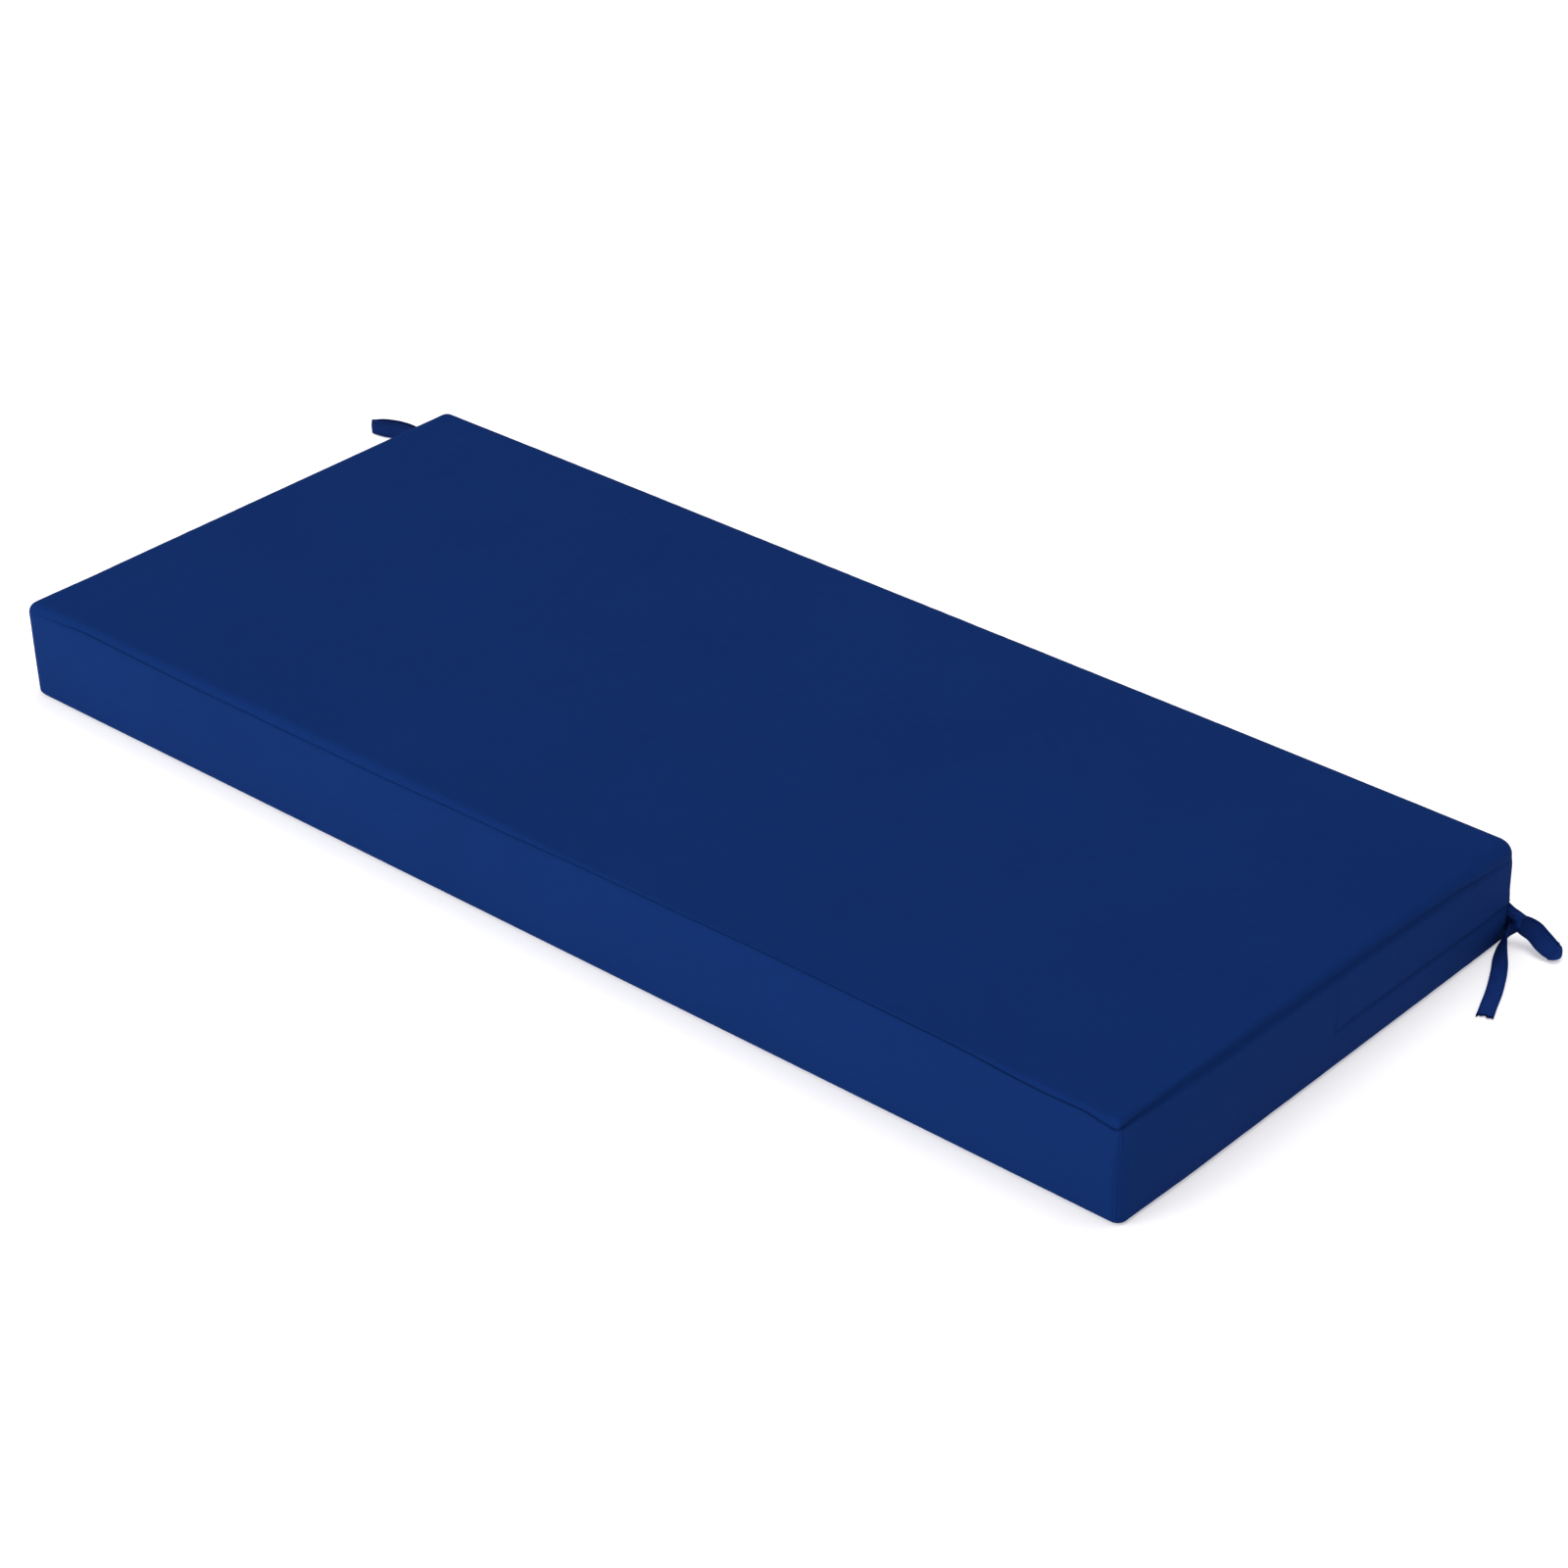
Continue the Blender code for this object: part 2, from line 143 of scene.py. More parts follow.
# Where the plain box is cut before each cell is halved and halved again
EDGE_LINES = (0.0014, 0.0036, 0.0080, 0.0160, 0.0280)
TOP_LEVELS = (0.0014, 0.0036, 0.0080, 0.0150, 0.0240)
BOTTOM_LEVELS = (0.0014, 0.0040, 0.0090, 0.0170)
FLAP_LEVELS = (-0.0070, -0.0012, 0.0002, 0.0014, 0.0060)
MIDDLE_LEVEL = 0.60
PANEL_PITCH = 0.024
CELL_CUTS = 3

# Soft unevenness of the filled cloth, with seeds that keep its waves apart. Slant is how fast they change
# across the seam, and squareness how flat the middle of the panel is.
PANEL_SQUARENESS = 4
PANEL_SWELL = 0.0006
PANEL_SWELL_SIZE = 0.170
PANEL_SWELL_SEED = 1.7
BOXING_SWELL = 0.0005
BOXING_SWELL_SIZE = 0.085
BOXING_SWELL_SLANT = 9
BOXING_SWELL_SEED = 3.0
PUCKER_DEPTH = 0.00018
PUCKER_PITCH = 0.009
PUCKER_REACH = 0.014
PUCKER_SLANT = 30
PUCKER_SEED = 7.0
PUCKER_FREE_HEIGHT = 0.003
FLAP_PUCKER_DEPTH = 0.00030
FLAP_PUCKER_HEIGHT = 0.003
FLAP_PUCKER_REACH = 0.009
FLAP_PUCKER_PITCH = 0.007
FLAP_PUCKER_SLANT = 1.4
FLAP_PUCKER_SEED = 5.0

# The upright corners. The bulge of the boxing dies away towards them. Near the top, the seam pinches the
# front right corner and the filling rounds the back right one.
CORNER_REACH = 0.070
CORNER_WALK_REACH = 0.3
CORNER_PINCH = 0.62
CORNER_PINCH_DROP = 0.005
CORNER_PINCH_REACH = 0.030
CORNER_EASE = 0.45
CORNER_EASE_REACH = 0.022
CORNER_SHIFT_REACH = 0.080
CORNER_SHIFTS = (
    # side in length, side in depth, shift in length, shift in depth, share of the shift at the floor
    (-1, -1, -0.0018, -0.0018, 0.0),
    (1, -1, -0.0032, 0.0, 0.35),
)
CORNER_PLEATS = (
    # middle height, reach up and down, middle round the corner, reach round it, pitch, depth
    (0.0680, 0.0180, -0.0045, 0.0085, 0.0034, 0.00050),
    (0.0200, 0.0300, -0.0050, 0.0100, 0.0036, 0.00055),
    (0.0420, 0.0500, 0.0060, 0.0060, 0.0055, 0.00035),
)

# Routes of the tape from a back corner. Out is past the end and back is past the back edge. Facing is the way
# the width points, in degrees from out towards back, and lean turns it from lying flat (0) to standing on its
# edge (90). Width is a share of the tape's own, and tip is how far its middle runs on ahead of its edges.
ROOT_ROUTE = (
    # out, back, height, facing, lean, width, tip
    (-0.0040, -0.0038, 0.0264, 110, 60, 0.70, 0),
    (0.0005, -0.0047, 0.0252, 100, 60, 0.70, 0),
    (0.0040, -0.0050, 0.0240, 92, 50, 0.62, 0),
    (0.0075, -0.0045, 0.0232, 88, 30, 0.52, 0),
    (0.0108, -0.0028, 0.0212, 85, 20, 0.45, 0),
)
SECOND_ROOT_ROUTE = (
    (-0.0040, -0.0042, 0.0138, 100, 88, 1.06, 0),
    (0.0005, -0.0048, 0.0136, 96, 88, 1.12, 0),
    (0.0035, -0.0040, 0.0138, 92, 88, 1.12, 0),
    (0.0070, -0.0028, 0.0142, 90, 88, 1.00, 0),
)
RIGHT_LOOP_ROUTE = (
    (0.0080, -0.0044, 0.0170, 90, 72, 0.92, 0),
    (0.0130, -0.0032, 0.0149, 80, 52, 1.02, 0),
    (0.0205, -0.0023, 0.0120, 68, 38, 1.06, 0),
    (0.0280, -0.0046, 0.0092, 68, 37, 1.06, 0),
    (0.0340, -0.0061, 0.0074, 68, 37, 1.02, 0.0008),
    (0.0375, -0.0062, 0.0063, 68, 37, 0.98, 0.0022),
    (0.0394, -0.0058, 0.0056, 68, 37, 0.94, 0.0034),
    (0.0401, -0.0046, 0.0052, 68, 37, 0.92, 0.0038),
    (0.0392, -0.0036, 0.0057, 68, 37, 0.94, 0.0034),
    (0.0364, -0.0028, 0.0070, 68, 37, 0.98, 0.0022),
    (0.0328, -0.0020, 0.0086, 68, 37, 1.00, 0.0008),
    (0.0262, -0.0002, 0.0108, 68, 37, 1.02, 0),
    (0.0192, 0.0022, 0.0128, 68, 38, 1.00, 0),
    (0.0138, 0.0014, 0.0148, 70, 46, 0.95, 0),
    (0.0085, -0.0008, 0.0168, 90, 70, 0.80, 0),
)
RIGHT_TAIL_ROUTE = (
    (0.0085, -0.0030, 0.0134, -25, 90, 0.40, 0),
    (0.0062, -0.0062, 0.0126, -12, 90, 0.66, 0),
    (0.0044, -0.0084, 0.0116, -5, 87, 0.84, 0),
    (0.0037, -0.0110, 0.0099, -2, 80, 0.92, 0),
    (0.0040, -0.0160, 0.0072, 6, 64, 0.92, 0),
    (0.0103, -0.0292, 0.0052, 27, 43, 0.97, 0),
    (0.0175, -0.0408, 0.0034, 29, 23, 1.00, 0),
    (0.0243, -0.0537, 0.0020, 26, 8, 1.00, 0),
    (0.0317, -0.0700, 0.0013, 22, 0, 1.00, 0),
    (0.0378, -0.0857, 0.0012, 21, 0, 1.00, 0),
    (0.0431, -0.0990, 0.0012, 21, 0, 1.02, 0),
)
LEFT_LOOP_ROUTE = (
    (0.0085, -0.0042, 0.0165, 115, 88, 0.70, 0),
    (0.0250, 0.0060, 0.0120, 118, 84, 0.90, 0),
    (0.0480, 0.0210, 0.0088, 117, 78, 1.00, 0),
    (0.0750, 0.0385, 0.0072, 114, 72, 1.02, 0),
    (0.0960, 0.0475, 0.0070, 108, 66, 1.10, 0),
    (0.1130, 0.0455, 0.0072, 98, 60, 1.18, 0),
    (0.1230, 0.0420, 0.0070, 90, 64, 1.13, 0),
    (0.1318, 0.0396, 0.0066, 88, 76, 1.04, 0.0003),
    (0.1358, 0.0391, 0.0065, 88, 86, 1.00, 0.0008),
    (0.1374, 0.0404, 0.0065, 88, 90, 0.98, 0.0012),
    (0.1352, 0.0430, 0.0065, 88, 90, 1.00, 0.0008),
    (0.1308, 0.0473, 0.0065, 90, 90, 1.00, 0),
    (0.1250, 0.0508, 0.0065, 90, 90, 1.00, 0),
    (0.1160, 0.0540, 0.0065, 90, 90, 1.00, 0),
    (0.1045, 0.0553, 0.0066, 90, 90, 1.00, 0),
    (0.0930, 0.0532, 0.0068, 90, 90, 1.00, 0),
    (0.0730, 0.0430, 0.0074, 90, 90, 1.00, 0),
    (0.0480, 0.0265, 0.0092, 90, 90, 1.00, 0),
    (0.0250, 0.0100, 0.0128, 90, 90, 0.90, 0),
    (0.0085, -0.0004, 0.0165, 90, 90, 0.70, 0),
)
LEFT_TAIL_ROUTE = RIGHT_TAIL_ROUTE[:5] + (
    (0.0110, -0.0275, 0.0050, 34, 40, 0.97, 0),
    (0.0205, -0.0375, 0.0028, 42, 12, 1.00, 0),
    (0.0300, -0.0475, 0.0014, 44, 1, 1.00, 0),
    (0.0400, -0.0590, 0.0012, 40, 0, 1.00, 0),
)
LOOP_SHADES = {
    # painted shade where it leaves the knot, painted shade beyond, how far the first reaches
    "right": (0.45, 0.05, 0.030),
    # The left loop is darkened all along with painted shade
    "left": (0.60, 0.62, 0.030),
}

# The tape's own unevenness, across it in shares of its width: gathers, ripples, a cup, and along each edge a
# fold painted paler as wear and a painted highlight, and a stitch line darkened with painted shade
GATHER_DEPTH = 0.0011
GATHER_START = 0.6
RIPPLE_DEPTH = 0.00022
RIPPLE_PITCH = 0.009
RIPPLES_ACROSS = 2.5
RIPPLE_SEED = 4.0
CUP_DEPTH = 0.00045
TURN_STEPS = 4
STITCH_LINE = 0.39
STITCH_WIDTH = 0.05
STITCH_SHADE = 0.3
FOLD_LINE = 0.47
FOLD_WEAR_AND_HIGHLIGHT = 0.8
FOLD_ROUNDING = 0.32
FOLD_ANGLE = 50
CUT_END_DEPTH = 0.0022
CUT_END_TEETH = 9

# The knot's wrap, along it in shares of its size: a squared band with eased rims and a fold slanting over it
KNOT_CENTRE = (0.0072, -0.0022, 0.0160)
KNOT_SIZE = (0.0068, 0.0076, 0.0140)
KNOT_SIDES = 48
KNOT_RINGS = 14
KNOT_SQUARENESS = 3
KNOT_RIM_START = 0.72
KNOT_RIM_DEPTH = 0.30
KNOT_RIM_EASE = 0.08
KNOT_RIM_LINE = 0.40
KNOT_RIM_WIDTH = 0.08
# Share of paler colour on the rims: wear and a painted highlight
KNOT_RIM_WEAR_AND_HIGHLIGHT = 0.5
KNOT_FOLD_MIDDLE = 0.05
KNOT_FOLD_SLANT = 0.16
KNOT_FOLD_HEIGHT = 0.05
KNOT_FOLD_STEEPNESS = 16
KNOT_FOLD_WIDTH = 0.10
# Painted shade along the fold
KNOT_FOLD_SHADE = 0.5
KNOT_CRUMPLE = 0.05
KNOT_CRUMPLES = (3, 1.4)
KNOT_CRUMPLE_SEED = 2.0

# Tones of the cloth as shares of its own colour, and how strongly the weave marks it
DEEP_TONE = 0.93
PALE_TONE = 1.10
SLUB_TONE = 1.7
# Paler tone of rolled edges and folds: wear and a painted highlight
WEAR_AND_HIGHLIGHT_TONE = 1.25
# Darker tone of the painted shade in seams, folds and the ties' shaded parts
PAINTED_SHADE_TONE = 0.36
WEAVE_MARK = 0.12

LAMP_SIZE = 3.0
LAMP_COLOUR = (0.97, 1.0, 0.96)
TOP_LAMP_AZIMUTH = math.radians(150)
TOP_LAMP_ELEVATION = math.radians(75)
SURROUND_COLOUR = (1.0, 0.92, 1.0, 1.0)

# A point this near to a face of the plain box lies on it
ON_FACE = 1e-6


# --- small shape helpers ------------------------------------------------------------------------------------


def between(rows, position, column=1):
    """A column's value at a position in a table that its first column orders, eased from row to row."""
    if position <= rows[0][0]:
        return rows[0][column]
    for before, after in zip(rows, rows[1:]):
        if position <= after[0]:
            share = (position - before[0]) / (after[0] - before[0])
            return before[column] + (after[column] - before[column]) * share * share * (3 - 2 * share)
    return rows[-1][column]


def fade(distance, reach):
    """1 at no distance, easing to 0 at the reach."""
    if distance >= reach:
        return 0.0
    return 0.5 + 0.5 * math.cos(math.pi * distance / reach)


def valley(distance, half_width):
    """How much of its depth a soft channel has at a distance from its middle."""
    share = min(1.0, abs(distance) / half_width)
    return (1 - share * share) ** 2


def rolled_edge(distance, radius):
    """Inset, drop and slope at a distance round a rolled edge, below it, on it or past it."""
    if distance <= -radius:
        return 0.0, -distance, 0.0
    if distance >= radius:
        return distance, 0.0, math.pi / 2
    slope = (distance + radius) / (2 * radius) * math.pi / 2
    return radius * (1 - math.cos(slope)), radius * (1 - math.sin(slope)), slope


def on_ring(x, y, half_x, half_y, radius):
    """A point of a rounded rectangle and its outward direction, from a point of the sharp one."""
    over_x = abs(x) - (half_x - radius)
    over_y = abs(y) - (half_y - radius)
    side_x = math.copysign(1, x)
    side_y = math.copysign(1, y)
    if radius > 0 and over_x > 0 and over_y > 0:
        if over_x >= over_y:
            turn = math.pi / 4 * over_y / over_x
        else:
            turn = math.pi / 2 - math.pi / 4 * over_x / over_y
        out = Vector((side_x * math.cos(turn), side_y * math.sin(turn), 0))
        middle = Vector((side_x * (half_x - radius), side_y * (half_y - radius), 0))
        return middle + out * radius, out
    if half_x - abs(x) <= half_y - abs(y):
        return Vector((x, y, 0)), Vector((side_x, 0, 0))
    return Vector((x, y, 0)), Vector((0, side_y, 0))


# --- materials ----------------------------------------------------------------------------------------------


def set_inputs(node, values):
    """Set the plain values of a node's inputs by name."""
    for name, value in values.items():
        node.inputs[name].default_value = value


def add_node(tree, kind, place, values=None, **settings):
    """A shader node at a place in the editor, with settings on itself and values on its inputs."""
    node = tree.nodes.new(kind)
    node.location = place
    for name, value in settings.items():
        setattr(node, name, value)
    set_inputs(node, values or {})
    return node


def blend_colours(tree, place, factor, first, second, mode="MIX"):
    """A colour mix whose factor and colours are sockets or plain values."""
    mix = add_node(tree, "ShaderNodeMix", place, data_type="RGBA", blend_type=mode)
    for socket, value in ((mix.inputs[0], factor), (mix.inputs[6], first), (mix.inputs[7], second)):
        if isinstance(value, bpy.types.NodeSocket):
            tree.links.new(value, socket)
        else:
            socket.default_value = value
    return mix.outputs[2]


def toned(colour, share):
    """The cloth's colour made deeper or paler."""
    return [channel * share for channel in colour[:3]] + [1]


def cloth_material(name, colour, thread, tone_size, streaks, streak_tone, sheen):
    """Woven cloth: fine threads on the piece's own UV map, uneven dye, edges painted paler as wear and a
    painted highlight, and painted shade in seams and folds.
    """
    material = bpy.data.materials.new(name)
    material.use_nodes = True
    tree = material.node_tree
    link = tree.links.new
    shader = tree.nodes["Principled BSDF"]
    set_inputs(shader, {"Roughness": 0.85, "Specular IOR Level": 0.03, "Sheen Weight": sheen,
                        "Sheen Roughness": 0.5, "Sheen Tint": (0.10, 0.35, 1.0, 1.0)})

    cloth_uv = add_node(tree, "ShaderNodeUVMap", (-1500, 0), uv_map="cloth")
    place = add_node(tree, "ShaderNodeTexCoord", (-1500, -500))

    # Warp and weft pass over and under each other like a checkerboard
    threads = add_node(tree, "ShaderNodeMapping", (-1300, 0), {"Scale": (1 / thread, 1 / thread, 1)})
    link(cloth_uv.outputs["UV"], threads.inputs["Vector"])
    over = add_node(tree, "ShaderNodeTexChecker", (-1080, 220), {"Scale": 1.0})
    warp = add_node(tree, "ShaderNodeTexWave", (-1080, 20), {"Scale": math.pi / 10, "Distortion": 0.25},
                    bands_direction="X")
    weft = add_node(tree, "ShaderNodeTexWave", (-1080, -280), {"Scale": math.pi / 10, "Distortion": 0.25},
                    bands_direction="Y")
    for texture in (over, warp, weft):
        link(threads.outputs["Vector"], texture.inputs["Vector"])
    weave = blend_colours(tree, (-820, 80), over.outputs["Fac"], warp.outputs["Color"], weft.outputs["Color"])

    # Uneven dye in soft clouds, and slubs that lighten single threads
    clouds = add_node(tree, "ShaderNodeTexNoise", (-1080, -520),
                      {"Scale": 1 / tone_size, "Detail": 3.0, "Roughness": 0.55})
    link(place.outputs["Object"], clouds.inputs["Vector"])
    slub_place = add_node(tree, "ShaderNodeMapping", (-1300, -760), {"Scale": streaks})
    link(cloth_uv.outputs["UV"], slub_place.inputs["Vector"])
    slubs = add_node(tree, "ShaderNodeTexNoise", (-1080, -760), {"Scale": 1.0, "Detail": 2.0})
    link(slub_place.outputs["Vector"], slubs.inputs["Vector"])

    dyed = blend_colours(tree, (-560, -420), clouds.outputs["Fac"], toned(colour, DEEP_TONE),
                         toned(colour, PALE_TONE))
    slub_tone = add_node(tree, "ShaderNodeMapRange", (-820, -760),
                         {"From Min": 0.35, "From Max": 0.75, "To Min": 0.0, "To Max": streak_tone})
    link(slubs.outputs["Fac"], slub_tone.inputs["Value"])
    threaded = blend_colours(tree, (-360, -300), slub_tone.outputs["Result"], dyed, toned(colour, SLUB_TONE))
    woven = blend_colours(tree, (-180, -200), WEAVE_MARK, threaded, weave, mode="MULTIPLY")

    # Painted shade darkens seams, folds and the ties' shaded parts; rolled edges are painted a little paler,
    # as wear and a painted highlight
    painted_shade = add_node(tree, "ShaderNodeAttribute", (-560, 300), attribute_name="painted_shade")
    wear_and_highlight = add_node(tree, "ShaderNodeAttribute", (-560, 480), attribute_name="wear_and_highlight")
    worn_and_highlit = blend_colours(tree, (20, 60), wear_and_highlight.outputs["Fac"], woven, toned(colour, WEAR_AND_HIGHLIGHT_TONE))
    shaded = blend_colours(tree, (220, 60), painted_shade.outputs["Fac"], worn_and_highlit, toned(colour, PAINTED_SHADE_TONE))
    link(shaded, shader.inputs["Base Color"])

    # Relief: the threads, then the small wrinkles of cloth pulled over its filling
    wrinkles = add_node(tree, "ShaderNodeTexNoise", (-560, -760),
                        {"Scale": 55.0, "Detail": 4.0, "Roughness": 0.5, "Distortion": 0.4})
    link(place.outputs["Object"], wrinkles.inputs["Vector"])
    soft = add_node(tree, "ShaderNodeBump", (20, -420), {"Strength": 0.22, "Distance": 0.0012})
    link(wrinkles.outputs["Fac"], soft.inputs["Height"])
    fine = add_node(tree, "ShaderNodeBump", (220, -300), {"Strength": 0.22, "Distance": thread * 0.25})
    link(weave, fine.inputs["Height"])
    link(soft.outputs["Normal"], fine.inputs["Normal"])
    link(fine.outputs["Normal"], shader.inputs["Normal"])
    return material


def add_cloth_layers(mesh):
    """The cloth map, and how much painted shade and how much paler wear and painted highlight the cloth gets,
    which the material reads.
    """
    return (mesh.loops.layers.uv.new("cloth"), mesh.verts.layers.float.new("painted_shade"),
            mesh.verts.layers.float.new("wear_and_highlight"))


def finish_piece(name, mesh, material, nodes):
    """Turn a bmesh into a piece of the cushion that stands for its solids and rides with them."""
    data = bpy.data.meshes.new(name)
    mesh.to_mesh(data)
    mesh.free()
    data.shade_smooth()
    data.materials.append(material)
    piece = bpy.data.objects.new(name, data)
    bpy.context.scene.collection.objects.link(piece)
    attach(piece, "root")
    if nodes:
        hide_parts(*nodes)
    return piece


# --- the cover ----------------------------------------------------------------------------------------------


class CoverForm:
    """The filled cover's form: maps every point of a plain box to its place on the sewn cushion."""

    def __init__(self, settings):
        self.length = settings.length
        self.depth = settings.depth
        self.height = settings.height
        self.crown = settings.crown
        self.corner_radius = settings.corner_radius
        self.side_bulge = settings.side_bulge
        self.half_x = self.length / 2
        self.half_y = self.depth / 2

    def inward(self, x, y):
        """How far in from the nearest side of the box a point lies."""
        return min(self.half_x - abs(x), self.half_y - abs(y))

    def walk(self, x, y, inward):
        """Where on the walk round the cover a point lies whose ring is this far inward."""
        along = (x / max(self.half_x - inward, ON_FACE) + 1) / 2
        across = (y / max(self.half_y - inward, ON_FACE) + 1) / 2
        if self.half_y - abs(y) <= self.half_x - abs(x):
            return along if y < 0 else 3 - along
        return 1 + across if x > 0 else 4 - across

    def walked(self, walk):
        """Metres walked round the seam."""
        sides = (self.length, self.depth, self.length, self.depth)
        whole = min(3, int(walk))
        return sum(sides[:whole]) + (walk - whole) * sides[whole]

    def round_noise(self, walk, pitch, across, seed):
        """Smooth noise along the walk that meets itself at the end of it."""
        around = 2 * (self.length + self.depth)
        turn = 2 * math.pi * self.walked(walk) / around
        reach = around / (2 * math.pi * pitch)
        return noise.noise(Vector((reach * math.cos(turn), reach * math.sin(turn), across + seed)))

    def flap_share(self, walk, ramp=JOIN_HALF_WIDTH):
        """1 where the closing flap covers the boxing, 0 elsewhere, with a ramp in metres at each join."""
        join_walk = RIGHT_END_MIDDLE + FLAP_JOIN_Y / self.depth
        past_join = min(walk - join_walk, (ENDS_SUM - join_walk) - walk)
        return min(1.0, max(0.0, past_join * self.depth / ramp + 0.5 * JOIN_HALF_WIDTH / ramp))

    def corner_distance(self, x, y):
        """Metres round the boxing to the nearest upright corner."""
        return max(self.half_x - abs(x), self.half_y - abs(y))

    def past_corner(self, x, y):
        """Metres walked past the nearest upright corner, negative before it."""
        before = (self.half_y - abs(y) <= self.half_x - abs(x)) == (x * y < 0)
        return -self.corner_distance(x, y) if before else self.corner_distance(x, y)

    def corner_shift(self, x, y, height):
        """How far the cloth by a front corner is pushed out or drawn in, most at the top seam."""
        shift = Vector((0, 0, 0))
        for side_x, side_y, along, across, floor_share in CORNER_SHIFTS:
            near = fade(math.hypot(x - side_x * self.half_x, y - side_y * self.half_y), CORNER_SHIFT_REACH)
            raised = floor_share + (1 - floor_share) * min(1.0, height / self.height)
            shift += Vector((along, across, 0)) * near * raised
        return shift

    def rounding(self, walk, height):
        """Radius of an upright corner: near the top, less at the front right and more at the back right."""
        pinch_height = fade(abs(height - self.height + CORNER_PINCH_DROP), CORNER_PINCH_REACH)
        pinch = CORNER_PINCH * fade(abs(walk - 1), CORNER_WALK_REACH) * pinch_height
        ease_height = fade(abs(height - self.height), CORNER_EASE_REACH)
        ease = CORNER_EASE * fade(abs(walk - 2), CORNER_WALK_REACH) * ease_height
        return self.corner_radius * (1 - pinch + ease)

    def boxing_relief(self, walk, height, x, y):
        """How far the boxing stands out, and the painted shade of its flap's edge and join."""
        near_corner = fade(self.corner_distance(x, y), CORNER_REACH)
        upright = math.sin(math.pi * min(1.0, max(0.0, height / self.height)))
        bulge = self.side_bulge * upright * (1 - near_corner)
        swell = BOXING_SWELL * upright
        swell *= self.round_noise(walk, BOXING_SWELL_SIZE, height * BOXING_SWELL_SLANT, BOXING_SWELL_SEED)
        above_flap = height - between(FLAP_LINE, walk)
        flap = self.flap_share(walk)
        step = between(FLAP_STEP, above_flap) * flap
        shade = FLAP_SHADE * valley(above_flap, FLAP_SHADE_WIDTH) * self.flap_share(walk, FLAP_SHADE_RAMP)
        tucks = FLAP_PUCKER_DEPTH * flap * fade(abs(above_flap - FLAP_PUCKER_HEIGHT), FLAP_PUCKER_REACH)
        slanted = walk - FLAP_PUCKER_SLANT * above_flap
        tucks *= self.round_noise(slanted, FLAP_PUCKER_PITCH, 0.0, FLAP_PUCKER_SEED)
        join = 0.0
        if above_flap > 0 and abs(x) >= self.half_x - self.corner_radius:
            join = valley(y - FLAP_JOIN_Y, JOIN_HALF_WIDTH)
        pleats = 0.0
        past = self.past_corner(x, y)
        for middle, reach_up, round_middle, reach_round, pitch, depth in CORNER_PLEATS:
            amount = fade(abs(height - middle), reach_up) * fade(abs(past - round_middle), reach_round)
            pleats += depth * amount * (0.5 + 0.5 * math.cos(2 * math.pi * (past - round_middle) / pitch))
        return bulge + swell + step + tucks - JOIN_DEPTH * join - pleats, shade + JOIN_SHADE * join

    def place(self, cage):
        """The finished place of a point of the box, with its painted shade and its paler wear and painted
        highlight there.
        """
        x, y, z = cage
        inward = self.inward(x, y)
        walk = self.walk(x, y, inward)
        upper = z > self.height / 2
        edge = TOP_EDGE if upper else BOTTOM_EDGE
        radius, degrees, half_width, depth, shade = (between(edge, walk, column) for column in range(1, 6))
        from_edge = inward if inward > ON_FACE else -min(z, self.height - z)
        shift = radius * (degrees / MIDDLE_DEGREES - 1) * fade(abs(from_edge), SEAM_WANDER_REACH)
        inset, drop, slope = rolled_edge(from_edge + shift, radius)

        half_x = self.half_x - inset
        half_y = self.half_y - inset
        ring_x = x * half_x / max(self.half_x - inward, ON_FACE)
        ring_y = y * half_y / max(self.half_y - inward, ON_FACE)
        height = self.height - drop if upper else drop
        ring_radius = max(self.rounding(walk, height) - inset, 0)
        spot, outward = on_ring(ring_x, ring_y, half_x, half_y, ring_radius)

        painted_shade = 0.0
        if inward <= ON_FACE:
            line_shift = between(FLAP_LINE, walk) - FLAP_HEIGHT
            height += line_shift * self.flap_share(walk) * fade(abs(height - FLAP_HEIGHT), FLAP_REACH)
            relief, painted_shade = self.boxing_relief(walk, height, x, y)
            spot += outward * relief
        if upper:
            across = (1 - (x / self.half_x) ** PANEL_SQUARENESS) * (1 - (y / self.half_y) ** PANEL_SQUARENESS)
            swell = PANEL_SWELL * noise.noise(Vector((x, y, PANEL_SWELL_SEED)) / PANEL_SWELL_SIZE)
            height += (self.crown + swell) * max(across, 0)
        up = Vector((0, 0, 1 if upper else -1))
        normal = outward * math.cos(slope) + up * math.sin(slope)
        pucker = PUCKER_DEPTH * fade(abs(from_edge), PUCKER_REACH)
        pucker *= self.round_noise(walk, PUCKER_PITCH, from_edge * PUCKER_SLANT, PUCKER_SEED)
        if not upper:
            pucker *= min(1.0, height / PUCKER_FREE_HEIGHT)
        seam = valley(from_edge, half_width)
        finished = spot + Vector((0, 0, height)) - normal * (depth * seam + pucker)
        finished += self.corner_shift(spot.x, spot.y, height)
        finished.z = max(finished.z, 0.0)
        # Painted shade darkens the seam's channel, and the flap's edge and join on the boxing
        painted_shade = min(1.0, painted_shade + shade * seam)
        # The panel's rolled edge is painted paler, as wear and a painted highlight
        wear_and_highlight = EDGE_WEAR_AND_HIGHLIGHT * fade(abs(slope - math.pi / 4), math.pi / 4) * (1 - seam) if upper else 0.0
        return finished, painted_shade, wear_and_highlight


def cut_lines(half, fixed=()):
    """Where the box is cut across one side: close together by its ends and evenly spaced between."""
    near_edges = [side * (half - inward) for inward in EDGE_LINES for side in (-1, 1)]
    span = half - EDGE_LINES[-1]
    count = max(1, round(2 * span / PANEL_PITCH))
    inner = [-span + 2 * span * index / count for index in range(1, count)]
    spread = [line for line in inner if all(abs(line - other) > PANEL_PITCH / 3 for other in fixed)]
    return near_edges + spread + list(fixed)


